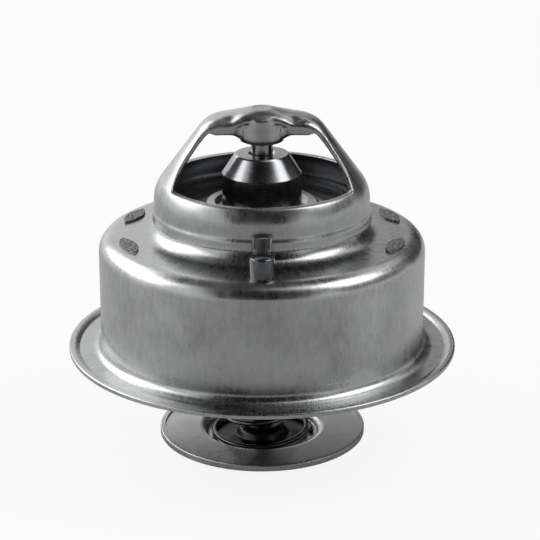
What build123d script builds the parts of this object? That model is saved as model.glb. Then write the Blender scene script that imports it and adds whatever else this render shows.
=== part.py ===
from build123d import *
import math
import os

# Engine thermostat with a bypass valve. Millimetres, +Z up, the axis on Z.
# The origin is on the axis, in the plane of the bypass disc's dish, on which the part stands.

# Bypass disc
disc_radius = 14.5
disc_sheet = 0.7
disc_lip_width = 0.7
disc_lip_rise = 0.25
disc_edge = 0.18
dish_radius = 8.1
dish_depth = 1.25
dish_slope = 0.3
dish_bend = 0.3
hub_radius = 3.1
hub_height = 1.35
hub_slope = 0.6
hub_bend = 0.3

# Housing shell
flange_to_disc = 13.2
shell_sheet = 0.7
flange_radius = 27.0
rim_width = 0.95
rim_step = 0.45
rim_step_slope = 0.5
rim_bend = 0.8
rim_step_bend = 0.2
rim_edge = 0.22
flange_width = 4.5
wall_foot_bend = 1.3
housing_height = 15.8
shoulder_bend = 2.3
neck_foot_bend = 2.1
neck_height = 4.4
neck_top_bend = 0.9
seat_reach = 1.27

# Weld marks, raised on the shoulder above the feet of the lower frame
weld_inset = 3.4
weld_angle = 20.0
weld_length = 6.6
weld_width = 2.3
weld_rise = 0.3
weld_edge = 0.12

# Upper bridge
bridge_sheet = 0.8
collar_radius = 14.8
press_gap = 0.03
collar_overlap = 2.5
collar_band_height = 1.45
collar_band_step = 0.2
collar_lip_height = 0.22
collar_lip_step = 0.3
collar_groove_height = 0.42
collar_groove_step = 0.05
sill_height = 3.2
leg_bend_height = 2.1
leg_lean = 36.5
collar_bend = 4.8
strap_slope = 11.5
strap_bend = 4.2
bridge_rise = 13.3
crown_bend = 3.0
window_shoulder = 2.8
window_corner = 4.5
strap_half_width = 2.75
strap_lip_drop = 3.3
strap_lip_reach = 8.4
strap_lip_flat = 6.3
gusset_reach = 4.0
gusset_drop = 1.3
notch_width = 2.1
notch_height = 2.4

# Boss and piston pin
boss_radius = 3.2
boss_drop = 5.0
boss_bend = 0.4
lip_root = 0.2
boss_dimple_radius = 1.1
boss_dimple_depth = 0.5
pin_radius = 1.5
pin_socket_depth = 2.0
pin_stroke_spare = 3.0
pin_tip_length = 1.2
pin_tip_radius = 0.9

# Jiggle pin
jiggle_radius = 1.6
jiggle_belly = 0.06
jiggle_height = 2.7
jiggle_edge_height = 0.9
jiggle_dome = 0.3
jiggle_edge = 0.2
jiggle_inset = 3.7
jiggle_hole_radius = 1.15
jiggle_shank_radius = 0.85
jiggle_travel = 1.0
jiggle_bulb_radius = 1.5
jiggle_bulb_length = 2.6

# Main valve
closed_gap = 0.05
seal_cover = 0.45
seal_neck_clearance = 0.32
seal_height = 1.45
plate_sheet = 0.8
plate_seal_margin = 0.65
seal_grip = 0.55
plate_dish = 2.0
plate_dish_slope = 0.7
plate_bend = 0.5
plate_hub_clearance = 0.3
plate_hole_clearance = 0.05

# Wax element
case_sheet = 0.7
case_radius = 6.2
case_length = 23.5
case_bend = 0.5
case_rim_bend = 0.5
rim_radius = 7.9
crimp_radius = 6.5
guide_flange_height = 1.0
guide_flange_clearance = 0.05
guide_radius = 5.45
guide_nose_radius = 3.8
guide_cylinder_height = 4.8
guide_nose_height = 2.7
guide_edge = 0.2
guide_countersink = 0.3
guide_running_gap = 0.05
sleeve_flange_height = 0.8
sleeve_radius = 3.4
sleeve_running_gap = 0.06
sleeve_floor = 1.5
washer_radius = 3.6
washer_height = 0.6
wax_gap = 0.02
wax_air = 3.0

# Bypass stem
stem_radius = 1.4
stem_collar_radius = 3.3
stem_collar_height = 1.0
stem_end_gap = 0.45
clip_radius = 2.2
clip_sheet = 0.4
clip_gap = 0.1
clip_groove_depth = 0.25
clip_mouth = 1.9
cap_radius = 4.4
cap_sheet = 0.6
cap_lip = 0.5
bush_flange_radius = 2.7
bush_flange_height = 0.4
bush_wall = 0.5
bush_running_gap = 0.05
bush_press_gap = 0.01

# Springs
main_wire_radius = 0.9
spring_plate_margin = 0.7
spring_floor_margin = 1.8
main_turns = 5.75
bypass_wire_radius = 0.35
bypass_coil_radius = 7.0
bypass_top_coil_radius = 3.15
bypass_turns = 3.25
ground_share = 0.15

# Lower frame
frame_sheet = 1.0
foot_corner_gap = 0.05
foot_width = 3.3
foot_bend = 1.5
frame_floor_depth = 19.6
frame_floor_bend = 1.6
frame_hole_clearance = 0.55
leg_angle = 66.0
floor_ring_height = 2.4

# Levels, each worked out from the sizes above
annulus_bottom = dish_depth
annulus_top = annulus_bottom + disc_sheet
dish_floor = disc_sheet
hub_top = dish_floor + hub_height
flange_bottom = annulus_bottom + flange_to_disc
flange_top = flange_bottom + shell_sheet
shoulder_top = flange_top + housing_height
shoulder_underside = shoulder_top - shell_sheet
neck_top = shoulder_top + neck_height
seat_underside = neck_top - shell_sheet
collar_bottom = neck_top - collar_overlap
window_sill = neck_top + sill_height
bridge_top = neck_top + bridge_rise
boss_bottom = bridge_top - boss_drop
boss_crease = math.sqrt(boss_radius**2 - (strap_half_width - bridge_sheet) ** 2)
lip_start = boss_crease - lip_root
crown_top = bridge_top - boss_dimple_radius * math.tan(math.radians(strap_slope))
strap_lip_low = bridge_top - strap_lip_drop
neck_radius = collar_radius - bridge_sheet - press_gap
neck_bore = neck_radius - shell_sheet
seat_radius = neck_bore - seat_reach
wall_radius = flange_radius - flange_width
weld_circle_radius = wall_radius - weld_inset
jiggle_offset = wall_radius - jiggle_inset
window_half_width = collar_radius - window_shoulder

seal_top = seat_underside - closed_gap
plate_top = seal_top - seal_cover
plate_edge = neck_bore - seal_neck_clearance - plate_seal_margin
plate_hub_top = plate_top - plate_dish
main_coil_radius = plate_edge - spring_plate_margin - main_wire_radius
plate_underside = plate_top - plate_sheet
case_shelf = plate_hub_top
sleeve_seat = case_shelf + case_sheet
guide_seat = sleeve_seat + sleeve_flange_height
guide_flange_top = guide_seat + guide_flange_height
crimp_top = guide_flange_top + case_sheet
guide_shoulder = guide_flange_top + guide_cylinder_height
guide_top = guide_shoulder + guide_nose_height
case_bottom = case_shelf - case_length
case_bore = case_radius - case_sheet
rim_bore = rim_radius - case_sheet

foot_top = shoulder_underside
frame_floor_radius = main_coil_radius + main_wire_radius + spring_floor_margin
frame_floor = foot_top - frame_floor_depth
foot_radius = wall_radius - shoulder_bend - foot_corner_gap
foot_inner_radius = foot_radius - foot_width

stem_collar_bottom = case_bottom - stem_collar_height
cap_bottom = stem_collar_bottom - cap_sheet
stem_end = stem_end_gap
clip_top = hub_top - disc_sheet - clip_gap
pin_tip = case_bottom + case_sheet + sleeve_floor + pin_stroke_spare
sleeve_bottom = pin_tip - sleeve_floor

# How near to a radius an edge's own has to be to count as that edge
edge_tolerance = 0.001


def parallel_path(points, bends, thickness):
    """Corners and bend radii of the sheet's other face, on the left of the path."""
    path = [Vector(*point) for point in points]
    headings = [(after - before).normalized() for before, after in zip(path, path[1:])]
    normals = [Vector(-heading.Y, heading.X) for heading in headings]
    corners = [path[0] + normals[0] * thickness]
    radii = []
    for corner, before, after, bend in zip(path[1:], normals, normals[1:], bends):
        share = thickness / (1 + before.dot(after))
        corners.append(corner + (before + after) * share)
        turns_left = before.cross(after).Z > 0
        radii.append(bend - thickness if turns_left else bend + thickness)
    corners.append(path[-1] + normals[-1] * thickness)
    return [(corner.X, corner.Y) for corner in corners], radii


def sheet_section(points, bends, thickness):
    """Half section of a pressed sheet: one face's path and the parallel path on its left."""
    other_points, other_bends = parallel_path(points, bends, thickness)
    face_path = FilletPolyline(*points, radius=bends)
    other_path = FilletPolyline(*other_points, radius=other_bends)
    ends = [Line(points[0], other_points[0]), Line(points[-1], other_points[-1])]
    return Plane.XZ * make_face([face_path, other_path, *ends])


def turned(section):
    """Body of revolution about the part's axis."""
    return revolve(section, axis=Axis.Z)


def turned_outline(*points):
    """Body of revolution from the straight edges of its half section."""
    return turned(Plane.XZ * make_face(Polyline(*points, close=True)))


def cylinder_between(radius, low, high, inner=0.0, place=(0.0, 0.0)):
    """Upright cylinder or tube between two heights."""
    body = Cylinder(radius, high - low, align=(Align.CENTER, Align.CENTER, Align.MIN))
    if inner > 0:
        body -= Cylinder(inner, high - low, align=(Align.CENTER, Align.CENTER, Align.MIN))
    return Pos(place[0], place[1], low) * body


def round_edges_of(body, radius):
    """Round edges of the body that have the given radius."""
    round_edges = body.edges().filter_by(GeomType.CIRCLE)
    return round_edges.filter_by(lambda edge: abs(edge.radius - radius) < edge_tolerance)


def sector(radius, low, high, angle, centre):
    """Wedge about the axis, used to keep one leg of a pressed cup."""
    half = math.radians(angle / 2)
    reach = radius / math.cos(half)
    corners = [(0, 0)]
    for turn in (-half, half):
        corners.append((reach * math.cos(turn), reach * math.sin(turn)))
    wedge = extrude(make_face(Polyline(*corners, close=True)), amount=high - low)
    return Rot(0, 0, centre) * Pos(0, 0, low) * wedge


def weld_mark():
    """Low pad between two arcs, along the shoulder's circle, its upper edge rounded."""
    half_length = weld_length / 2
    half_width = weld_width / 2
    outer = ThreePointArc((0, -half_length), (half_width, 0), (0, half_length))
    inner = ThreePointArc((0, half_length), (-half_width, 0), (0, -half_length))
    pad = extrude(make_face([outer, inner]), amount=shell_sheet / 2 + weld_rise)
    pad = fillet(pad.faces().sort_by(Axis.Z)[-1].edges(), weld_edge)
    return Pos(weld_circle_radius, 0, shoulder_top - shell_sheet / 2) * pad


def housing_shell():
    """Flange, wall, shoulder, neck and seat lip, drawn from one sheet."""
    rim_inner = flange_radius - rim_width
    panel = flange_top - rim_step
    path = [
        (flange_radius, flange_top),
        (rim_inner, flange_top),
        (rim_inner - rim_step_slope, panel),
        (wall_radius, panel),
        (wall_radius, shoulder_top),
        (neck_radius, shoulder_top),
        (neck_radius, neck_top),
        (seat_radius, neck_top),
    ]
    bends = [rim_bend, rim_step_bend, wall_foot_bend, shoulder_bend, neck_foot_bend, neck_top_bend]
    shell = turned(sheet_section(path, bends, shell_sheet))
    shell = fillet(round_edges_of(shell, flange_radius), rim_edge)
    for side in (0, 180):
        for turn in (-weld_angle, weld_angle):
            shell += Rot(0, 0, side + turn) * weld_mark()
    low = shoulder_underside - shell_sheet
    high = shoulder_top + shell_sheet
    shell -= cylinder_between(jiggle_hole_radius, low, high, place=(0, -jiggle_offset))
    return shell


def bridge_path():
    """Half outline of the drawn cup, from the collar's foot to the crown."""
    lean = math.radians(leg_lean)
    slope = math.radians(strap_slope)
    bend_corner = neck_top + leg_bend_height
    rise = bridge_top - bend_corner - collar_radius * math.tan(slope)
    run = rise / (math.cos(lean) - math.sin(lean) * math.tan(slope))
    knee_radius = collar_radius - run * math.sin(lean)
    knee_height = bend_corner + run * math.cos(lean)
    return [
        (collar_radius, collar_bottom),
        (collar_radius, bend_corner),
        (knee_radius, knee_height),
        (boss_dimple_radius, crown_top),
        (0, crown_top),
    ]


bridge_bends = [collar_bend, strap_bend, crown_bend]


def bridge_fill():
    """Everything under the outer face of the cup, to trim what is under the strap."""
    points = bridge_path()
    foot = (0, collar_bottom)
    outline = FilletPolyline(*points, radius=bridge_bends)
    section = make_face([outline, Line(points[-1], foot), Line(foot, points[0])])
    return turned(Plane.XZ * section)


def bridge_window():
    """Window punched straight down through one side of the cup."""
    reach = 2 * collar_radius
    low = strap_half_width
    width = 2 * window_half_width
    plan = Pos(0, low + reach / 2) * RectangleRounded(width, reach, window_corner)
    return Pos(0, 0, window_sill) * extrude(plan, amount=bridge_top)


def strap_lip():
    """Edge of the strap turned down between knee and boss, its end splayed to meet the boss."""
    strap_drop = strap_lip_reach * math.tan(math.radians(strap_slope))
    outline = [
        (lip_start, bridge_top),
        (lip_start, strap_lip_low - gusset_drop),
        (gusset_reach, strap_lip_low),
        (strap_lip_flat, strap_lip_low),
        (strap_lip_reach, bridge_top - strap_drop - bridge_sheet / 2),
        (strap_lip_reach, bridge_top),
    ]
    face = Plane.XZ * make_face(Polyline(*outline, close=True))
    lip = extrude(face, amount=bridge_sheet)
    splay = [
        (lip_start, bridge_sheet),
        (boss_crease + bridge_sheet, 0),
        (strap_lip_reach, 0),
        (strap_lip_reach, bridge_sheet),
    ]
    plan = extrude(make_face(Polyline(*splay, close=True)), amount=bridge_top)
    lip = Pos(0, bridge_sheet, 0) * lip & plan
    return Pos(0, -strap_half_width, 0) * lip


def collar_band():
    """Ring rolled out at the collar's foot: lip, groove and band."""
    band_top = collar_bottom + collar_band_height
    inside = collar_radius - bridge_sheet / 2
    return turned_outline(
        (inside, collar_bottom),
        (collar_radius + collar_lip_step, collar_bottom),
        (collar_radius + collar_lip_step, collar_bottom + collar_lip_height),
        (collar_radius + collar_groove_step, collar_bottom + collar_lip_height),
        (collar_radius + collar_groove_step, collar_bottom + collar_groove_height),
        (collar_radius + collar_band_step, collar_bottom + collar_groove_height),
        (collar_radius + collar_band_step, band_top),
        (collar_radius, band_top + collar_band_step),
        (inside, band_top + collar_band_step),
    )


def upper_bridge():
    """Collar, two legs, strap with turned edges, and the boss that holds the pin."""
    cup = turned(sheet_section(bridge_path(), bridge_bends, bridge_sheet))
    cup += collar_band()
    trim = bridge_fill()
    lips = strap_lip() + mirror(strap_lip(), about=Plane.YZ)
    for turn in (0, 180):
        cup -= Rot(0, 0, turn) * bridge_window()
        cup += (Rot(0, 0, turn) * lips) & trim
    boss = cylinder_between(boss_radius, boss_bottom, bridge_top)
    boss = fillet(boss.edges().sort_by(Axis.Z)[0], boss_bend)
    cup += boss & trim
    cup -= cylinder_between(pin_radius + press_gap, boss_bottom, boss_bottom + pin_socket_depth)
    cup -= cylinder_between(boss_dimple_radius, crown_top - boss_dimple_depth, bridge_top)
    notch = Box(notch_width, collar_radius, notch_height, align=(Align.CENTER, Align.MAX, Align.MIN))
    cup -= Pos(0, -neck_radius, collar_bottom) * notch
    return cup


def piston_pin():
    """Pin from the boss's socket down into the rubber sleeve."""
    top = boss_bottom + pin_socket_depth
    return turned_outline(
        (0, pin_tip),
        (pin_tip_radius, pin_tip),
        (pin_radius, pin_tip + pin_tip_length),
        (pin_radius, top),
        (0, top),
    )


def jiggle_pin():
    """Loose bleed pin: barrel head, shank and the bulb that closes the hole from below."""
    head_top = shoulder_top + jiggle_height
    belly = jiggle_radius + jiggle_belly
    bulb_top = shoulder_underside - jiggle_travel
    bulb_low = bulb_top - jiggle_bulb_length
    cone = jiggle_bulb_radius - jiggle_shank_radius
    pin = turned_outline(
        (0, bulb_low),
        (jiggle_shank_radius, bulb_low),
        (jiggle_bulb_radius, bulb_low + cone),
        (jiggle_bulb_radius, bulb_top - cone),
        (jiggle_shank_radius, bulb_top),
        (jiggle_shank_radius, shoulder_top),
        (jiggle_radius, shoulder_top),
        (belly, shoulder_top + jiggle_edge_height),
        (belly, head_top - jiggle_edge_height),
        (jiggle_radius, head_top),
        (0, head_top),
    )
    dome_radius = (jiggle_radius**2 + jiggle_dome**2) / (2 * jiggle_dome)
    dome = Pos(0, 0, head_top + jiggle_dome - dome_radius) * Sphere(dome_radius)
    pin += dome & cylinder_between(jiggle_radius, head_top, head_top + jiggle_dome)
    pin = fillet(round_edges_of(pin, jiggle_radius).sort_by(Axis.Z)[-1], jiggle_edge)
    return Pos(0, -jiggle_offset, 0) * pin


def lower_frame():
    """Pressed cup with two windows: two feet, two legs and the floor for the main spring."""
    path = [
        (foot_radius, foot_top),
        (foot_inner_radius, foot_top),
        (frame_floor_radius, frame_floor),
        (case_radius + frame_hole_clearance, frame_floor),
    ]
    cup = turned(sheet_section(path, [foot_bend, frame_floor_bend], frame_sheet))
    keep = cylinder_between(foot_radius, frame_floor - frame_sheet, frame_floor + floor_ring_height)
    for centre in (0, 180):
        keep += sector(foot_radius + frame_sheet, frame_floor, foot_top, leg_angle, centre)
    return cup & keep


def coil(radius, wire, turns, low, high, top_radius=None):
    """Open coil between two seats, its ends ground flat against them."""
    end_radius = radius if top_radius is None else top_radius
    height = high - low
    pitch = (height - 2 * wire) / turns
    spare = pitch * ground_share
    run = height - 2 * wire + 2 * spare
    angle = math.degrees(math.atan2(end_radius - radius, height - 2 * wire))
    start_radius = radius - spare * math.tan(math.radians(angle))
    route = Helix(pitch, run, start_radius, cone_angle=angle)
    route = Pos(0, 0, low + wire - spare) * route
    end = Plane(origin=route @ 0, z_dir=route % 0)
    wire_body = sweep(end * Circle(wire), path=route, is_frenet=True)
    reach = 2 * (max(radius, end_radius) + 2 * wire)
    slab = Box(reach, reach, height, align=(Align.CENTER, Align.CENTER, Align.MIN))
    return wire_body & (Pos(0, 0, low) * slab)


def main_spring():
    return coil(main_coil_radius, main_wire_radius, main_turns, frame_floor, plate_underside)


def valve_plate():
    """Dished valve disc: hub under the case's rim, cone, and flat rim under the seat."""
    hub_reach = rim_radius + plate_hub_clearance
    path = [
        (plate_edge, plate_top),
        (hub_reach + plate_dish_slope, plate_top),
        (hub_reach, plate_hub_top),
        (case_radius + plate_hole_clearance, plate_hub_top),
    ]
    return turned(sheet_section(path, [plate_sheet + plate_bend, plate_bend], plate_sheet))


def valve_seal():
    """Rubber ring moulded round the plate's rim."""
    outer = neck_bore - seal_neck_clearance
    inner = outer - plate_seal_margin - seal_grip
    ring = cylinder_between(outer, seal_top - seal_height, seal_top, inner=inner)
    return ring - valve_plate()


def element_case():
    """Drawn cup of the wax element, flared and crimped over the guide's flange."""
    cup = turned_outline(
        (0, case_bottom),
        (case_radius, case_bottom),
        (case_radius, case_shelf),
        (rim_radius, case_shelf),
        (rim_radius, crimp_top),
        (crimp_radius, crimp_top),
        (crimp_radius, guide_flange_top),
        (rim_bore, guide_flange_top),
        (rim_bore, sleeve_seat),
        (case_bore, sleeve_seat),
        (case_bore, case_bottom + case_sheet),
        (0, case_bottom + case_sheet),
    )
    cup = fillet(cup.edges().filter_by(GeomType.CIRCLE).sort_by(Axis.Z)[0], case_bend)
    rim_edges = cup.edges().filter_by(GeomType.CIRCLE).group_by(Axis.Z)[-1]
    return fillet(rim_edges.sort_by(SortBy.RADIUS)[-1], case_rim_bend)


def guide():
    """Turned guide: flange held by the crimp, cylinder, conical nose and the pin's bore."""
    bore = pin_radius + guide_running_gap
    flange_edge = rim_bore - guide_flange_clearance
    return turned_outline(
        (washer_radius, guide_seat),
        (flange_edge, guide_seat),
        (flange_edge, guide_flange_top),
        (guide_radius, guide_flange_top),
        (guide_radius, guide_shoulder),
        (guide_nose_radius, guide_top - guide_edge),
        (guide_nose_radius - guide_edge, guide_top),
        (bore + guide_countersink, guide_top),
        (bore, guide_top - guide_countersink),
        (bore, guide_seat + washer_height),
        (washer_radius, guide_seat + washer_height),
    )


def sleeve_washer():
    """Washer in the guide's counterbore, round the pin."""
    inner = pin_radius + guide_running_gap
    outer = washer_radius - press_gap
    return cylinder_between(outer, guide_seat, guide_seat + washer_height, inner=inner)


def rubber_sleeve():
    """Closed sleeve round the pin, with the flange that seals the case."""
    bore = pin_radius + sleeve_running_gap
    return turned_outline(
        (0, sleeve_bottom),
        (sleeve_radius, sleeve_bottom),
        (sleeve_radius, sleeve_seat),
        (rim_bore - guide_flange_clearance, sleeve_seat),
        (rim_bore - guide_flange_clearance, guide_seat),
        (bore, guide_seat),
        (bore, pin_tip),
        (0, pin_tip),
    )


def wax_charge():
    """Wax round and under the sleeve."""
    outer = case_bore - wax_gap
    inner = sleeve_radius + wax_gap
    low = case_bottom + case_sheet
    under_sleeve = sleeve_bottom - wax_gap
    high = sleeve_seat - wax_air
    return turned_outline(
        (0, low),
        (outer, low),
        (outer, high),
        (inner, high),
        (inner, under_sleeve),
        (0, under_sleeve),
    )


def bypass_stem():
    """Stem under the case, with a collar at the top and a groove for the clip."""
    groove = stem_radius - clip_groove_depth
    return turned_outline(
        (0, stem_end),
        (groove, stem_end),
        (stem_radius, stem_end + clip_groove_depth / 2),
        (stem_radius, clip_top - clip_sheet - clip_gap / 2),
        (groove, clip_top - clip_sheet - clip_gap / 2),
        (groove, clip_top + clip_gap / 2),
        (stem_radius, clip_top + clip_gap / 2),
        (stem_radius, stem_collar_bottom),
        (stem_collar_radius, stem_collar_bottom),
        (stem_collar_radius, case_bottom),
        (0, case_bottom),
    )


def spring_cap():
    """Shallow cup washer on the stem, over the bypass spring's small coil."""
    return turned_outline(
        (stem_radius + press_gap, cap_bottom),
        (cap_radius - cap_sheet, cap_bottom),
        (cap_radius - cap_sheet, cap_bottom - cap_lip),
        (cap_radius, cap_bottom - cap_lip),
        (cap_radius, stem_collar_bottom),
        (stem_radius + press_gap, stem_collar_bottom),
    )


def stem_clip():
    """Open retaining ring in the stem's groove."""
    inner = stem_radius - clip_groove_depth + press_gap
    ring = cylinder_between(clip_radius, clip_top - clip_sheet, clip_top, inner=inner)
    mouth = Box(clip_mouth, clip_radius * 2, clip_sheet, align=(Align.CENTER, Align.MIN, Align.MIN))
    return ring - Pos(0, 0, clip_top - clip_sheet) * mouth


def bypass_spring():
    return coil(
        bypass_coil_radius,
        bypass_wire_radius,
        bypass_turns,
        dish_floor,
        cap_bottom,
        top_radius=bypass_top_coil_radius,
    )


def bypass_disc():
    """Pressed disc: rim lip, flat annulus, dish and raised hub."""
    hub_hole = stem_radius + bush_running_gap + bush_wall + bush_press_gap
    path = [
        (disc_radius, annulus_top),
        (dish_radius, annulus_top),
        (dish_radius - dish_slope, dish_floor),
        (hub_radius + hub_slope, dish_floor),
        (hub_radius, hub_top),
        (hub_hole, hub_top),
    ]
    bends = [disc_sheet + dish_bend, dish_bend, hub_bend, disc_sheet + hub_bend]
    disc = turned(sheet_section(path, bends, disc_sheet))
    lip = cylinder_between(
        disc_radius,
        annulus_top - disc_sheet / 2,
        annulus_top + disc_lip_rise,
        inner=disc_radius - disc_lip_width,
    )
    disc += lip
    return fillet(round_edges_of(disc, disc_radius), disc_edge)


def disc_bush():
    """Flanged bush in the disc's hub, sliding on the stem."""
    bore = stem_radius + bush_running_gap
    outer = bore + bush_wall
    return turned_outline(
        (bore, hub_top - disc_sheet),
        (outer, hub_top - disc_sheet),
        (outer, hub_top),
        (bush_flange_radius, hub_top),
        (bush_flange_radius, hub_top + bush_flange_height),
        (bore, hub_top + bush_flange_height),
    )


nodes = {
    "housing_shell": housing_shell,
    "upper_bridge": upper_bridge,
    "piston_pin": piston_pin,
    "jiggle_pin": jiggle_pin,
    "lower_frame": lower_frame,
    "main_spring": main_spring,
    "valve_plate": valve_plate,
    "valve_seal": valve_seal,
    "element_case": element_case,
    "guide": guide,
    "sleeve_washer": sleeve_washer,
    "rubber_sleeve": rubber_sleeve,
    "wax_charge": wax_charge,
    "bypass_stem": bypass_stem,
    "spring_cap": spring_cap,
    "stem_clip": stem_clip,
    "bypass_spring": bypass_spring,
    "bypass_disc": bypass_disc,
    "disc_bush": disc_bush,
}

os.makedirs("parts", exist_ok=True)
for name, make in nodes.items():
    export_step(make(), f"parts/{name}.step")
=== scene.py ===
import math

import bmesh
import bpy
import numpy as np
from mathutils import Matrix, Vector


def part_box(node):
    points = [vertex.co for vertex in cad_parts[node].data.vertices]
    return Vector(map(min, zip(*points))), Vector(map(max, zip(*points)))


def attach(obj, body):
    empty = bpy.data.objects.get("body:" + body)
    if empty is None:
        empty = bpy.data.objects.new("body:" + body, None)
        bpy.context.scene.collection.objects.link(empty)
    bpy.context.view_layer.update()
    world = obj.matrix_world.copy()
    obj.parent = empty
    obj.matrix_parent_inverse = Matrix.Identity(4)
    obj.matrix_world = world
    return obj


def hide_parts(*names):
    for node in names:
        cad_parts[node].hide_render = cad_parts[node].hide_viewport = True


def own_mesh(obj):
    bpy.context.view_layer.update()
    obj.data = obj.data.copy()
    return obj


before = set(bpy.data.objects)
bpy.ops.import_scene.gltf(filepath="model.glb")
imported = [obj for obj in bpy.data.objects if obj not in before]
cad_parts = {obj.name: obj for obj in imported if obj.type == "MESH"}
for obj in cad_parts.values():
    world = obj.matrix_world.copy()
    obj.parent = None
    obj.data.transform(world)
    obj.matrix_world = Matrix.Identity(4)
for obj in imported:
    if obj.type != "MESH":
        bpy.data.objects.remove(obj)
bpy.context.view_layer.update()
print("frame loaded:", len(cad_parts), "nodes")

mm = 0.001  # Blender counts in metres


def hexColour(code):
    # sRGB hex to linear light: the standard's curve is a line near black and a power above it
    values = [int(code[i:i + 2], 16) / 255 for i in (1, 3, 5)]
    linear = [v / 12.92 if v <= 0.04045 else ((v + 0.055) / 1.055) ** 2.4 for v in values]
    return (*linear, 1.0)


def addNode(tree, kind, settings=None, inputs=None):
    # one node: settings are its properties, and each input, by name or place,
    # is a value or another node's output
    node = tree.nodes.new(kind)
    for name, value in (settings or {}).items():
        setattr(node, name, value)
    for name, value in (inputs or {}).items():
        if isinstance(value, bpy.types.NodeSocket):
            tree.links.new(value, node.inputs[name])
        else:
            node.inputs[name].default_value = value
    return node


def newMaterial(name):
    material = bpy.data.materials.new(name)
    material.use_nodes = True
    material.node_tree.nodes.clear()
    return material, material.node_tree


# Camera: long lens, a little above the part; the flange's centre lies low in the picture
camera = {
    "lens": 130.9,
    "sensor": 36.0,
    "clipStart": 10 * mm,
    "elevation": 21.42,
    "distance": 276.2 * mm,
    "aimHeight": 15.15 * mm,
    "aimRight": 1.118 * mm,
    "aimUp": 9.539 * mm,
}


def makeCamera():
    # it stands off the flange's centre along its line of sight, and aims a little right of it and above it
    tilt = math.radians(camera["elevation"])
    aim = Vector((0, 0, camera["aimHeight"]))
    up = Vector((0, math.sin(tilt), math.cos(tilt)))
    place = aim + camera["distance"] * Vector((0, -math.cos(tilt), math.sin(tilt)))
    target = aim + Vector((camera["aimRight"], 0, 0)) + camera["aimUp"] * up
    lens = bpy.data.cameras.new("camera")
    lens.lens = camera["lens"]
    lens.sensor_width = camera["sensor"]
    lens.clip_start = camera["clipStart"]
    eye = bpy.data.objects.new("camera", lens)
    eye.location = place
    eye.rotation_mode = "QUATERNION"
    eye.rotation_quaternion = (target - place).to_track_quat("-Z", "Y")
    bpy.context.scene.collection.objects.link(eye)
    bpy.context.scene.camera = eye


makeCamera()
bpy.context.scene.view_settings.view_transform = "Standard"
print("camera placed")

# Studio, in metres: white floor and world, a wide soft box on the left and a small one on the right
studio = {
    "floorSize": 6.0,
    "floorPoints": 3,  # along each side
    "floorColour": "#FCFCFC",
    "floorGlow": 0.92,  # how much of the floor that is seen glows; the rest takes the part's shadow
    "worldColour": "#FBFBFB",
    "worldFill": 0.45,  # the world's strength as light on the part
    "seenStrength": 1.0,  # at this strength a colour is seen as it is written
}
lamps = {
    "keyLeft": {"place": (-0.50, 0.20, 0.36), "size": (0.85, 0.42), "power": 2.5},
    "keyRight": {"place": (0.38, -0.04, 0.45), "size": (0.34, 0.34), "power": 1.15},
}
# Cards stand where metal would else show white paper; only reflections see them
cards = {
    "cardFront": {"place": (0.0, -0.50, 0.36), "size": (0.90, 0.80), "colour": "#181818"},
    "cardLow": {"place": (0.0, -0.29, 0.0006), "size": (0.15, 0.50), "colour": "#B4B4B4", "lying": True},
    "cardGround": {"place": (0.0, -0.06, 0.0003), "size": (0.90, 0.70), "colour": "#D2D2D2", "lying": True},
    "cardBack": {"place": (0.15, 0.80, 0.33), "size": (0.30, 0.42), "colour": "#C8C8C8"},
    "cardRight": {"place": (0.62, -0.05, 0.30), "size": (0.80, 0.50), "colour": "#A0A0A0"},
    "cardTop": {"place": (-0.08, 0.10, 0.78), "size": (1.10, 0.75), "colour": "#3A3A3A"},
    "cardBackRight": {"place": (0.40, 0.55, 0.22), "size": (0.60, 0.45), "colour": "#383838"},
}
lookAt = Vector((0, 0, 0.025))  # the middle of the part, which lamps and cards face


def pickRay(tree, seen, other):
    # seen for camera, glossy and transmission rays, other for the rays that only light
    path = addNode(tree, "ShaderNodeLightPath")
    either = addNode(tree, "ShaderNodeMath", {"operation": "MAXIMUM"},
                     {0: path.outputs["Is Camera Ray"], 1: path.outputs["Is Glossy Ray"]})
    third = addNode(tree, "ShaderNodeMath", {"operation": "MAXIMUM"},
                    {0: either.outputs[0], 1: path.outputs["Is Transmission Ray"]})
    mix = addNode(tree, "ShaderNodeMixShader", None, {0: third.outputs[0], 1: other, 2: seen})
    return mix.outputs[0]


def makeWorld():
    world = bpy.data.worlds.new("studio")
    bpy.context.scene.world = world
    world.use_nodes = True
    tree = world.node_tree
    tree.nodes.clear()
    colour = hexColour(studio["worldColour"])
    seen = addNode(tree, "ShaderNodeBackground", None, {"Color": colour, "Strength": studio["seenStrength"]})
    fill = addNode(tree, "ShaderNodeBackground", None, {"Color": colour, "Strength": studio["worldFill"]})
    mixed = pickRay(tree, seen.outputs[0], fill.outputs[0])
    addNode(tree, "ShaderNodeOutputWorld", None, {"Surface": mixed})


def gridObject(name, points, closed=False):
    # quads between neighbours of a grid of points, rows by columns; closed joins the last column to the first
    rows, columns = points.shape[:2]
    r, c = np.meshgrid(np.arange(rows - 1), np.arange(columns if closed else columns - 1), indexing="ij")
    beside = (c + 1) % columns
    faces = np.stack([r * columns + c, r * columns + beside,
                      (r + 1) * columns + beside, (r + 1) * columns + c], -1)
    mesh = bpy.data.meshes.new(name)
    mesh.from_pydata(points.reshape(-1, 3).tolist(), [], faces.reshape(-1, 4).tolist())
    mesh.update()
    piece = bpy.data.objects.new(name, mesh)
    bpy.context.scene.collection.objects.link(piece)
    return piece


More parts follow.
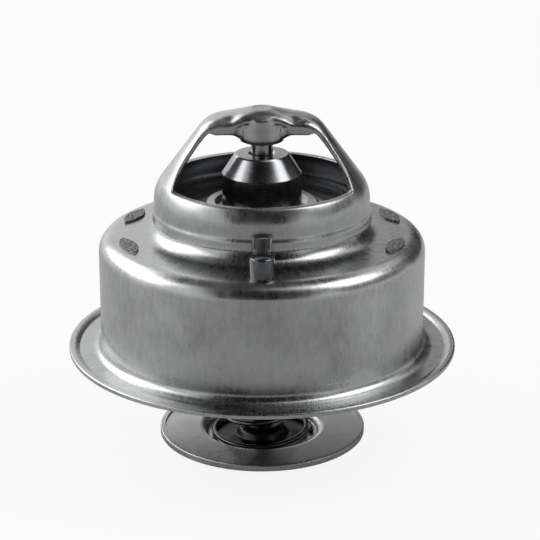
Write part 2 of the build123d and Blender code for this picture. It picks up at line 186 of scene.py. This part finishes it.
def makeFloor():
    # a flat square round the origin, at height zero
    half = studio["floorSize"] / 2
    span = np.linspace(-half, half, studio["floorPoints"])
    x, y = np.meshgrid(span, span, indexing="ij")
    floor = gridObject("floor", np.stack([x, y, np.zeros_like(x)], -1))
    material, tree = newMaterial("paperFloor")
    colour = hexColour(studio["floorColour"])
    matt = addNode(tree, "ShaderNodeBsdfDiffuse", None, {"Color": colour})
    glow = addNode(tree, "ShaderNodeEmission", None, {"Color": colour, "Strength": studio["seenStrength"]})
    blend = addNode(tree, "ShaderNodeMixShader", None,
                    {"Fac": studio["floorGlow"], 1: matt.outputs[0], 2: glow.outputs[0]})
    mixed = pickRay(tree, blend.outputs[0], matt.outputs[0])
    addNode(tree, "ShaderNodeOutputMaterial", None, {"Surface": mixed})
    floor.data.materials.append(material)


def makeLamps():
    for name, lamp in lamps.items():
        light = bpy.data.lights.new(name, "AREA")
        light.shape = "RECTANGLE"
        light.size, light.size_y = lamp["size"]
        light.energy = lamp["power"]
        body = bpy.data.objects.new(name, light)
        body.location = lamp["place"]
        body.rotation_mode = "QUATERNION"
        body.rotation_quaternion = (lookAt - body.location).to_track_quat("-Z", "Y")
        bpy.context.scene.collection.objects.link(body)
        body.visible_camera = False


def makeCards():
    # place plus u times the width across and v times the height upward, u and v from edge to edge
    overhead = Vector((0, 0, 1))
    edges = np.linspace(-0.5, 0.5, 2)
    u, v = np.meshgrid(edges, edges, indexing="ij")
    for name, card in cards.items():
        place = Vector(card["place"])
        lying = card.get("lying", False)
        facing = overhead if lying else (lookAt - place).normalized()
        across = Vector((1, 0, 0)) if lying else facing.cross(overhead).normalized()
        upward = across.cross(facing)
        width, height = card["size"]
        points = (np.array(place) + u[..., None] * width * np.array(across)
                  + v[..., None] * height * np.array(upward))
        body = gridObject(name, points)
        material, tree = newMaterial(name)
        matt = addNode(tree, "ShaderNodeBsdfDiffuse", None, {"Color": hexColour(card["colour"])})
        addNode(tree, "ShaderNodeOutputMaterial", None, {"Surface": matt.outputs[0]})
        body.data.materials.append(material)
        body.visible_camera = False
        body.visible_diffuse = False
        body.visible_shadow = False


makeWorld()
makeFloor()
makeLamps()
makeCards()
print("studio made")


# Springs, in millimetres: each fills the space between its seats; wire is the wire's radius
mainCoil = {
    "node": "main_spring", "body": "housing", "joint": "valve_slide",
    "wire": 0.9, "turns": 5.75, "lowRadius": 10.7, "highRadius": 10.7,
    "fixedEnd": "low", "travel": 8.0, "around": 18,
}
bypassCoil = {
    "node": "bypass_spring", "body": "element", "joint": "bypass_slide",
    "wire": 0.35, "turns": 3.25, "lowRadius": 7.0, "highRadius": 3.15,
    "fixedEnd": "high", "travel": 4.0, "around": 14,
}
coilEnds = {
    "stepsPerTurn": 72,
    "closedTurn": 0.75,  # share of a turn at each end that lies nearly flat
    "evenClimb": 0.3,  # share of the climb that is spread over the closed turns too
    "seatLift": 0.75,  # the wire's centre over its seat, in wire radii: the rest is ground off
    "seatGap": 0.02,  # keeps the ground faces clear of the seats
}
meshMerge = 0.001 * mm  # points closer than this become one
meshSliver = 0.0001 * mm  # edges shorter than this go


def closeMesh(piece):
    # points that meet become one, and the faces point outwards
    sheet = bmesh.new()
    sheet.from_mesh(piece.data)
    bmesh.ops.remove_doubles(sheet, verts=sheet.verts, dist=meshMerge)
    bmesh.ops.dissolve_degenerate(sheet, edges=sheet.edges, dist=meshSliver)
    bmesh.ops.recalc_face_normals(sheet, faces=sheet.faces)
    sheet.to_mesh(piece.data)
    sheet.free()
    piece.data.shade_smooth()


def coilPath(coil, low, high):
    # a helix whose radius and height both follow one climb from 0 to 1, which nearly stops
    # over the closed turns; also the direction straight out from the axis at each point
    t = np.linspace(0, 1, int(coil["turns"] * coilEnds["stepsPerTurn"]))
    angle = 2 * math.pi * coil["turns"] * t
    ease = coilEnds["closedTurn"] / coil["turns"]
    climb = np.clip((t - ease) / (1 - 2 * ease), 0, 1)
    climb = coilEnds["evenClimb"] * t + (1 - coilEnds["evenClimb"]) * climb
    radius = coil["lowRadius"] + (coil["highRadius"] - coil["lowRadius"]) * climb
    lift = coilEnds["seatLift"] * coil["wire"]
    level = low + lift + (high - low - 2 * lift) * climb
    centre = np.stack([radius * np.cos(angle), radius * np.sin(angle), level], -1)
    outward = np.stack([np.cos(angle), np.sin(angle), np.zeros_like(angle)], -1)
    return centre, outward


def tubeAlong(centre, outward, radius, around):
    # a circle square to the path, carried along it: the path's point plus the radius times
    # (cos turn along outward, sin turn along the side); both ends close to a point on the path
    along = np.gradient(centre, axis=0)
    along /= np.linalg.norm(along, axis=1, keepdims=True)
    side = np.cross(along, outward)
    side /= np.linalg.norm(side, axis=1, keepdims=True)
    outward = np.cross(side, along)
    turn = np.linspace(0, 2 * math.pi, around, endpoint=False)
    ring = np.cos(turn)[None, :, None] * outward[:, None] + np.sin(turn)[None, :, None] * side[:, None]
    size = np.full(len(centre) + 2, radius)
    size[[0, -1]] = 0.0
    points = np.concatenate([ring[:1], ring, ring[-1:]]) * size[:, None, None]
    return points + np.concatenate([centre[:1], centre, centre[-1:]])[:, None]


def makeSpring(name, coil):
    # a tube along the coil's path; what passes the seats is ground flat
    low, high = (corner.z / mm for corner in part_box(coil["node"]))
    centre, outward = coilPath(coil, low, high)
    points = tubeAlong(centre, outward, coil["wire"], coil["around"])
    points[..., 2] = np.clip(points[..., 2], low + coilEnds["seatGap"], high - coilEnds["seatGap"])
    piece = gridObject(name, points * mm, closed=True)
    closeMesh(piece)
    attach(piece, coil["body"])
    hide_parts(coil["node"])
    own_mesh(piece)
    return piece


mainSpring = makeSpring("mainSpring", mainCoil)
bypassSpring = makeSpring("bypassSpring", bypassCoil)
print("springs made")


# Upper bridge, in millimetres and degrees: the CAD bridge with the soft edges that the press leaves
bridge = {
    "voxel": 0.18,
    "topRadius": 1.1, "strapSlope": 11.5,  # the strap falls from here outwards
    "kneeRadius": 7.67, "kneeDrop": 1.56, "legSlope": 53.5,  # and turns down into the legs at the knees
    "rollStart": 1.4, "rollWidth": 1.4, "rollDrop": 0.9, "rollDepth": 2.2,  # from the strap's middle line
    "kneeReach": 2.5, "kneeFade": 3.0, "legShare": 0.3, "legFoot": 41.0, "legFade": 3.0,
    "backShare": 0.08,  # the back edge stays sharp
    "hollowPlace": (4.3, 2.0), "hollowSize": (1.1, 0.8), "hollowDepth": 0.5,  # beside the boss
    "crownSize": 2.6, "crownRise": 0.22, "crownShare": 0.55,  # over the boss
    "bossRadius": 3.5, "bossDepth": 4.8, "bossLift": 0.2, "bossLiftHeight": 1.0,
    "dimpleRadius": 1.35, "dimpleReach": 0.8, "dimpleDepth": 0.12,
    "creaseRadius": (2.4, 4.9), "creaseTop": 46.2, "creaseFade": 0.4, "creaseRounds": 30,
    "windowLevel": 40.0,  # below it lies the collar, which keeps its form
    "relaxRounds": 4,
}


def copyOfNode(node, name):
    # the node's mesh with its faces joined, as a new object
    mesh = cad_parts[node].data.copy()
    mesh.name = name
    mesh.materials.clear()
    piece = bpy.data.objects.new(name, mesh)
    bpy.context.scene.collection.objects.link(piece)
    closeMesh(piece)
    return piece


def applyModifiers(piece):
    view = bpy.context.evaluated_depsgraph_get()
    mesh = bpy.data.meshes.new_from_object(piece.evaluated_get(view))
    piece.modifiers.clear()
    piece.data = mesh


def readPoints(piece):
    points = np.empty(len(piece.data.vertices) * 3)
    piece.data.vertices.foreach_get("co", points)
    return points.reshape(-1, 3) / mm


def writePoints(piece, points):
    piece.data.vertices.foreach_set("co", (points * mm).ravel())
    piece.data.update()


def relax(piece, points, rounds):
    # each point moves half way to the mean of its neighbours
    edges = np.empty(len(piece.data.edges) * 2, int)
    piece.data.edges.foreach_get("vertices", edges)
    a, b = edges.reshape(-1, 2).T
    size = len(points)
    count = np.bincount(np.concatenate([a, b]), minlength=size)[:, None]
    for _ in range(rounds):
        total = np.stack([np.bincount(a, points[b, i], size) + np.bincount(b, points[a, i], size)
                          for i in range(3)], -1)
        points = 0.5 * points + 0.5 * total / np.maximum(count, 1)
    return points


def outerSkin(reach, top):
    # height of the bridge's outer face: a flat cone over the strap and a steep one down the legs,
    # whichever is lower
    strapFall = math.tan(math.radians(bridge["strapSlope"]))
    legFall = math.tan(math.radians(bridge["legSlope"]))
    peak = top + bridge["topRadius"] * strapFall
    strap = peak - reach * strapFall
    leg = peak - bridge["kneeDrop"] - (reach - bridge["kneeRadius"]) * legFall
    return np.minimum(strap, leg)


def edgeRoll(reach, y, z):
    # a quarter circle down from the roll's start, times a share that falls past the knees
    # and ends at the legs' feet
    kneeEnd = bridge["kneeRadius"] + bridge["kneeReach"]
    onStrap = np.clip((kneeEnd - reach) / bridge["kneeFade"], bridge["legShare"], 1)
    onStrap = onStrap * np.clip((z - bridge["legFoot"]) / bridge["legFade"], 0, 1)
    across = np.clip((np.abs(y) - bridge["rollStart"]) / bridge["rollWidth"], 0, 1)
    return bridge["rollDrop"] * (1 - np.sqrt(1 - across**2)) * onStrap


def bossHollow(x, y):
    # a bell curve of the distance from the hollow's place, one in each quarter
    (placeX, placeY), (sizeX, sizeY) = bridge["hollowPlace"], bridge["hollowSize"]
    return bridge["hollowDepth"] * np.exp(-((np.abs(x) - placeX) / sizeX) ** 2
                                          - ((np.abs(y) - placeY) / sizeY) ** 2)


def pressStrap(points, top):
    # height plus nearness to the outer face times (crown minus roll and hollow), plus the boss's lift;
    # nearness runs smoothly from 1 on the face to 0 at the roll's depth under it
    x, y, z = points.T.copy()
    reach = np.hypot(x, y)
    near = np.clip(1 - (outerSkin(reach, top) - z) / bridge["rollDepth"], 0, 1)
    near = near * near * (3 - 2 * near)
    overBoss = np.exp(-(x / bridge["crownSize"]) ** 4)
    crown = bridge["crownRise"] * np.exp(-(reach / bridge["crownSize"]) ** 4)
    side = np.where(y < 0, 1.0, bridge["backShare"]) * (1 - (1 - bridge["crownShare"]) * overBoss)
    foot = top - bridge["bossDepth"] + bridge["bossLiftHeight"]
    lift = bridge["bossLift"] * np.clip((foot - z) / bridge["bossLiftHeight"], 0, 1)
    inBoss = (reach < bridge["bossRadius"]) * (z > bridge["windowLevel"])
    z += near * (crown - side * (edgeRoll(reach, y, z) + bossHollow(x, y))) + lift * inBoss
    inDimple = (reach < bridge["dimpleRadius"]) & (z > top - bridge["dimpleReach"])
    z[inDimple] = np.maximum(z[inDimple], top + bridge["crownRise"] - bridge["dimpleDepth"])
    return np.stack([x, y, z], -1)


def creaseShare(points):
    # 1 in the crease between boss and strap, falling evenly to 0 at its borders
    x, y, z = points.T
    reach = np.hypot(x, y)
    inner, outer = bridge["creaseRadius"]
    fade = bridge["creaseFade"]
    share = np.clip((reach - inner) / fade, 0, 1) * np.clip((outer - reach) / fade, 0, 1)
    return share * np.clip((bridge["creaseTop"] - z) / fade, 0, 1) * (z > bridge["windowLevel"])


def makeBridge():
    # an even mesh of the CAD bridge, pressed into its soft forms and relaxed, most of all in the crease
    piece = copyOfNode("upper_bridge", "bridge")
    remesh = piece.modifiers.new("even", "REMESH")
    remesh.mode = "VOXEL"
    remesh.voxel_size = bridge["voxel"] * mm
    applyModifiers(piece)
    pressed = pressStrap(readPoints(piece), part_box("upper_bridge")[1].z / mm)
    points = relax(piece, pressed, bridge["relaxRounds"])
    softer = relax(piece, points, bridge["creaseRounds"])
    points += creaseShare(pressed)[:, None] * (softer - points)
    writePoints(piece, points)
    piece.data.shade_smooth()
    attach(piece, "housing")
    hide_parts("upper_bridge")
    return piece


upperBridge = makeBridge()
print("bridge made:", len(upperBridge.data.polygons), "faces")


# Detail and roughness of the noise in each layer of a finish
noiseLayers = {
    "grain": {"Detail": 3.0, "Roughness": 0.6},
    "cloud": {"Detail": 4.0, "Roughness": 0.55},
    "speck": {"Detail": 2.0, "Roughness": 0.5},
}
toneLimits = (0.35, 0.65)  # noise mostly stays between these, which give the dark and the light colour
mouldStrength = 0.6


def polarCoordinates(tree):
    # the place on a turned or drawn piece: x, y and z, then its angle in radians, its height and
    # its radius, lengths in millimetres
    place = addNode(tree, "ShaderNodeTexCoord").outputs["Object"]
    scaled = addNode(tree, "ShaderNodeVectorMath", {"operation": "SCALE"}, {0: place, "Scale": 1 / mm})
    parts = addNode(tree, "ShaderNodeSeparateXYZ", None, {0: scaled.outputs[0]})
    angle = addNode(tree, "ShaderNodeMath", {"operation": "ARCTAN2"},
                    {0: parts.outputs["Y"], 1: parts.outputs["X"]})
    flat = addNode(tree, "ShaderNodeCombineXYZ", None, {"X": parts.outputs["X"], "Y": parts.outputs["Y"]})
    radius = addNode(tree, "ShaderNodeVectorMath", {"operation": "LENGTH"}, {0: flat.outputs[0]})
    return scaled.outputs[0], angle.outputs[0], parts.outputs["Z"], radius.outputs["Value"]


def grainPlace(tree, angle, height, radius, finish):
    # where to read the grain's noise, so that one grain is as long round the axis, at the piece's mean
    # radius, up it and out from it as the finish says
    around, up, out = finish["grain"]
    factors = (finish["meanRadius"] / around, 1 / up, 1 / out)
    parts = [addNode(tree, "ShaderNodeMath", {"operation": "MULTIPLY"}, {0: source, 1: factor})
             for source, factor in zip((angle, height, radius), factors)]
    axes = {axis: part.outputs[0] for axis, part in zip("XYZ", parts)}
    return addNode(tree, "ShaderNodeCombineXYZ", None, axes).outputs[0]


def addPaintedShade(tree, tint, radius, height, paintedShade):
    # painted shade: inside a piece, within the given radius and heights, the metal's colour is made dark
    inside = addNode(tree, "ShaderNodeMath", {"operation": "LESS_THAN"}, {0: radius, 1: paintedShade["radius"]})
    above = addNode(tree, "ShaderNodeMath", {"operation": "GREATER_THAN"}, {0: height, 1: paintedShade["from"]})
    below = addNode(tree, "ShaderNodeMath", {"operation": "LESS_THAN"}, {0: height, 1: paintedShade["to"]})
    band = addNode(tree, "ShaderNodeMath", {"operation": "MULTIPLY"},
                   {0: above.outputs[0], 1: below.outputs[0]})
    there = addNode(tree, "ShaderNodeMath", {"operation": "MULTIPLY"},
                    {0: inside.outputs[0], 1: band.outputs[0]})
    mix = addNode(tree, "ShaderNodeMix", {"data_type": "RGBA"},
                  {"Factor": there.outputs[0], 6: tint, 7: hexColour(paintedShade["colour"])})
    return mix.outputs[2]


def addPadGrain(tree, relief, tint, place, radius, height, pads):
    # the weld pads are coarse: darker, with a relief of cells, where a point is above the shoulder
    # and outside the neck
    above = addNode(tree, "ShaderNodeMath", {"operation": "GREATER_THAN"}, {0: height, 1: pads["level"]})
    outside = addNode(tree, "ShaderNodeMath", {"operation": "GREATER_THAN"}, {0: radius, 1: pads["radius"]})
    there = addNode(tree, "ShaderNodeMath", {"operation": "MULTIPLY"},
                    {0: above.outputs[0], 1: outside.outputs[0]})
    cells = addNode(tree, "ShaderNodeTexVoronoi", None, {"Vector": place, "Scale": 1 / pads["size"]})
    coarse = addNode(tree, "ShaderNodeMath", {"operation": "MULTIPLY"},
                     {0: cells.outputs["Distance"], 1: there.outputs[0]})
    total = addNode(tree, "ShaderNodeMath", {"operation": "MULTIPLY_ADD"},
                    {0: coarse.outputs[0], 1: pads["share"], 2: relief})
    pad = addNode(tree, "ShaderNodeMix", {"data_type": "RGBA"},
                  {"Factor": there.outputs[0], 6: tint, 7: hexColour(pads["colour"])})
    return total.outputs[0], pad.outputs[2]


def steelMaterial(name, finish):
    # metal with streaks along the way the tool moved, soft stains and fine specks: its tone is
    # the grain times the streak's share plus the stains, its relief the specks times theirs plus the grain
    material, tree = newMaterial(name)
    place, angle, height, radius = polarCoordinates(tree)
    stretched = grainPlace(tree, angle, height, radius, finish)
    grain = addNode(tree, "ShaderNodeTexNoise", None,
                    {"Vector": stretched, "Scale": 1.0, **noiseLayers["grain"]})
    cloud = addNode(tree, "ShaderNodeTexNoise", None,
                    {"Vector": place, "Scale": 1 / finish["cloudSize"], **noiseLayers["cloud"]})
    speck = addNode(tree, "ShaderNodeTexNoise", None,
                    {"Vector": place, "Scale": 1 / finish["speckSize"], **noiseLayers["speck"]})
    grain, cloud, speck = (noise.outputs["Fac"] for noise in (grain, cloud, speck))
    shade = addNode(tree, "ShaderNodeMath", {"operation": "MULTIPLY_ADD"},
                    {0: grain, 1: finish["streak"], 2: cloud})
    darkest, lightest = (limit * (1 + finish["streak"]) for limit in toneLimits)
    tone = addNode(tree, "ShaderNodeMapRange", None,
                   {"Value": shade.outputs[0], "From Min": darkest, "From Max": lightest}).outputs[0]
    tint = addNode(tree, "ShaderNodeMix", {"data_type": "RGBA"},
                   {"Factor": tone, 6: hexColour(finish["dark"]), 7: hexColour(finish["light"])}).outputs[2]
    smooth, dull = finish["roughness"]
    rough = addNode(tree, "ShaderNodeMapRange", None, {"Value": tone, "To Min": smooth, "To Max": dull})
    relief = addNode(tree, "ShaderNodeMath", {"operation": "MULTIPLY_ADD"},
                     {0: speck, 1: finish["speckShare"], 2: grain}).outputs[0]
    # painted shade inside the piece, where the finish gives one
    if "paintedShade" in finish:
        tint = addPaintedShade(tree, tint, radius, height, finish["paintedShade"])
    if "weldPads" in finish:
        relief, tint = addPadGrain(tree, relief, tint, place, radius, height, finish["weldPads"])
    bump = addNode(tree, "ShaderNodeBump", None,
                   {"Height": relief, "Strength": 1.0, "Distance": finish["depth"] * mm})
    shader = addNode(tree, "ShaderNodeBsdfPrincipled", None,
                     {"Base Color": tint, "Metallic": 1.0, "Roughness": rough.outputs[0],
                      "Normal": bump.outputs[0]})
    addNode(tree, "ShaderNodeOutputMaterial", None, {"Surface": shader.outputs[0]})
    return material


def softMaterial(name, finish):
    # rubber, plastic or wax: matt, with the fine grain that a mould, punch or press leaves
    material, tree = newMaterial(name)
    place = polarCoordinates(tree)[0]
    noise = addNode(tree, "ShaderNodeTexNoise", None,
                    {"Vector": place, "Scale": 1 / finish["grainSize"], **noiseLayers["grain"]})
    grain = noise.outputs["Fac"]
    tint = addNode(tree, "ShaderNodeMix", {"data_type": "RGBA"},
                   {"Factor": grain, 6: hexColour(finish["dark"]), 7: hexColour(finish["light"])})
    bump = addNode(tree, "ShaderNodeBump", None,
                   {"Height": grain, "Strength": mouldStrength, "Distance": finish["depth"] * mm})
    shader = addNode(tree, "ShaderNodeBsdfPrincipled", None,
                     {"Base Color": tint.outputs[2], "Roughness": finish["roughness"],
                      "Normal": bump.outputs[0]})
    addNode(tree, "ShaderNodeOutputMaterial", None, {"Surface": shader.outputs[0]})
    return material


# Finishes, with every length in millimetres: grain is the size of one streak round the axis at the mean
# radius, up it and out from it; the finest ones are drawn coarser than life, so that they show
neckHeight = 4.4
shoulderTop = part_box("housing_shell")[1].z / mm - neckHeight
padClear = 0.04  # height over the shoulder from which a point belongs to a pad

# Low-carbon steel sheet, deep drawn and thinly zinc plated: satin grey with short streaks up the wall,
# coarse dark weld pads, and painted shade inside the neck
drawnSheet = {
    "dark": "#A4A5A6", "light": "#BCBDBD", "roughness": (0.22, 0.36),
    "meanRadius": 22.8, "grain": (0.6, 5 / 3, 5 / 3),
    "streak": 0.8, "cloudSize": 6.0, "speckSize": 0.3, "speckShare": 0.5, "depth": 0.012,
    "weldPads": {"level": shoulderTop + padClear, "radius": 17.0, "size": 0.4, "share": 14.0,
                 "colour": "#68696B"},
    "paintedShade": {"radius": 13.3, "from": 30.0, "to": 36.0, "colour": "#666769"},
}
# The same sheet pressed into a disc: paler, a painted light, with fine streaks out from the hub and painted
# shade in the dish
pressedSheet = {
    "dark": "#B6B7B8", "light": "#CDCECE", "roughness": (0.24, 0.38),
    "meanRadius": 10.0, "grain": (0.25, 1.25, 1.25),
    "streak": 0.7, "cloudSize": 4.0, "speckSize": 0.25, "speckShare": 0.6, "depth": 0.010,
    "paintedShade": {"radius": 6.7, "from": 0.3, "to": 3.0, "colour": "#38393A"},
}
# The bridge, drawn from it too: a little darker, with painted shade inside its collar
bridgeSheet = dict(pressedSheet, dark="#9C9D9E", light="#B6B7B7", meanRadius=14.8, grain=(0.37, 1.25, 1.25),
                   paintedShade={"radius": 14.02, "from": 30.0, "to": 38.4, "colour": "#5E5F61"})
# Steel sheet inside the valve, phosphated and oiled: dull and dark grey through the windows
phosphatedSheet = {
    "dark": "#4C4D4E", "light": "#636465", "roughness": (0.30, 0.45),
    "meanRadius": 10.0, "grain": (0.25, 1.25, 1.25),
    "streak": 0.7, "cloudSize": 4.0, "speckSize": 0.25, "speckShare": 0.6, "depth": 0.010,
}
# Free-cutting steel, turned and left bright: fine rings round the axis, glossier than the sheet
turnedSteel = {
    "dark": "#8E8F91", "light": "#A2A3A5", "roughness": (0.20, 0.30),
    "meanRadius": 5.45, "grain": (5.45, 1 / 9, 1 / 9),
    "streak": 0.8, "cloudSize": 3.0, "speckSize": 0.3, "speckShare": 0.2, "depth": 0.003,
}
# The same steel on the small pins, turned: made dark, a painted shade, and the glossiest of all
pinSteelPaintedShade = {
    "dark": "#56575A", "light": "#6C6D70", "roughness": (0.16, 0.26),
    "meanRadius": 1.5, "grain": (1.5, 1 / 9, 1 / 9),
    "streak": 0.8, "cloudSize": 3.0, "speckSize": 0.3, "speckShare": 0.3, "depth": 0.003,
}
# Spring steel wire, drawn and oiled: dark grey and smooth, with soft streaks
springWire = {
    "dark": "#57585A", "light": "#747577", "roughness": (0.2, 0.34),
    "meanRadius": 10.0, "grain": (5.0, 1 / 3, 1 / 3),
    "streak": 0.5, "cloudSize": 2.0, "speckSize": 0.25, "speckShare": 0.4, "depth": 0.003,
}
# Brass cup, deep drawn and nickel plated: pale, a little warm and satin, with streaks up its side
nickelledCup = {
    "dark": "#C4C4C2", "light": "#D8D7D5", "roughness": (0.24, 0.36),
    "meanRadius": 6.2, "grain": (0.155, 1.0, 1.0),
    "streak": 0.6, "cloudSize": 4.0, "speckSize": 0.4, "speckShare": 0.5, "depth": 0.006,
}
# Brass bush, turned from bar: fine rings, a brown tinge, and nearly black, a painted shade
turnedBrass = {
    "dark": "#3B3936", "light": "#4B4945", "roughness": (0.24, 0.36),
    "meanRadius": 2.0, "grain": (2.0, 1 / 9, 1 / 9),
    "streak": 0.6, "cloudSize": 3.0, "speckSize": 0.3, "speckShare": 0.3, "depth": 0.004,
}
# Nitrile rubber, moulded: black and matt
mouldedRubber = {"dark": "#141414", "light": "#202020", "roughness": 0.62, "grainSize": 0.3, "depth": 0.01}
# PTFE, punched from sheet: milky white with a waxy sheen
ptfeWasher = {"dark": "#D6D5CF", "light": "#E6E5E0", "roughness": 0.5, "grainSize": 0.5, "depth": 0.004}
# Wax filled with copper powder, pressed in: dull brown
fillingWax = {"dark": "#9C7A50", "light": "#B08C60", "roughness": 0.55, "grainSize": 0.8, "depth": 0.01}

materials = {
    "drawnSheet": steelMaterial("drawnZincPlatedSteel", drawnSheet),
    "pressedSheet": steelMaterial("pressedZincPlatedSteel", pressedSheet),
    "bridgeSheet": steelMaterial("drawnBridgeSteel", bridgeSheet),
    "phosphatedSheet": steelMaterial("phosphatedSteel", phosphatedSheet),
    "turnedSteel": steelMaterial("turnedBrightSteel", turnedSteel),
    "pinSteelPaintedShade": steelMaterial("darkPinSteelPaintedShade", pinSteelPaintedShade),
    "springWire": steelMaterial("oiledSpringWire", springWire),
    "nickelledCup": steelMaterial("nickelPlatedBrass", nickelledCup),
    "turnedBrass": steelMaterial("darkBrassPaintedShade", turnedBrass),
    "rubber": softMaterial("mouldedNitrileRubber", mouldedRubber),
    "washer": softMaterial("ptfe", ptfeWasher),
    "wax": softMaterial("copperFilledWax", fillingWax),
}
finishes = {
    "drawnSheet": ["housing_shell"],
    "pressedSheet": ["bypass_disc"],
    "phosphatedSheet": ["lower_frame", "valve_plate", "spring_cap"],
    "turnedSteel": ["piston_pin", "guide"],
    "pinSteelPaintedShade": ["jiggle_pin", "bypass_stem"],
    "springWire": ["stem_clip"],
    "nickelledCup": ["element_case"],
    "turnedBrass": ["disc_bush"],
    "rubber": ["valve_seal", "rubber_sleeve"],
    "washer": ["sleeve_washer"],
    "wax": ["wax_charge"],
}
for finish, names in finishes.items():
    for name in names:
        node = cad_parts[name]
        node.data.materials.clear()
        node.data.materials.append(materials[finish])
scenePieces = ((mainSpring, "springWire"), (bypassSpring, "springWire"), (upperBridge, "bridgeSheet"))
for piece, finish in scenePieces:
    piece.data.materials.append(materials[finish])
print("materials made")
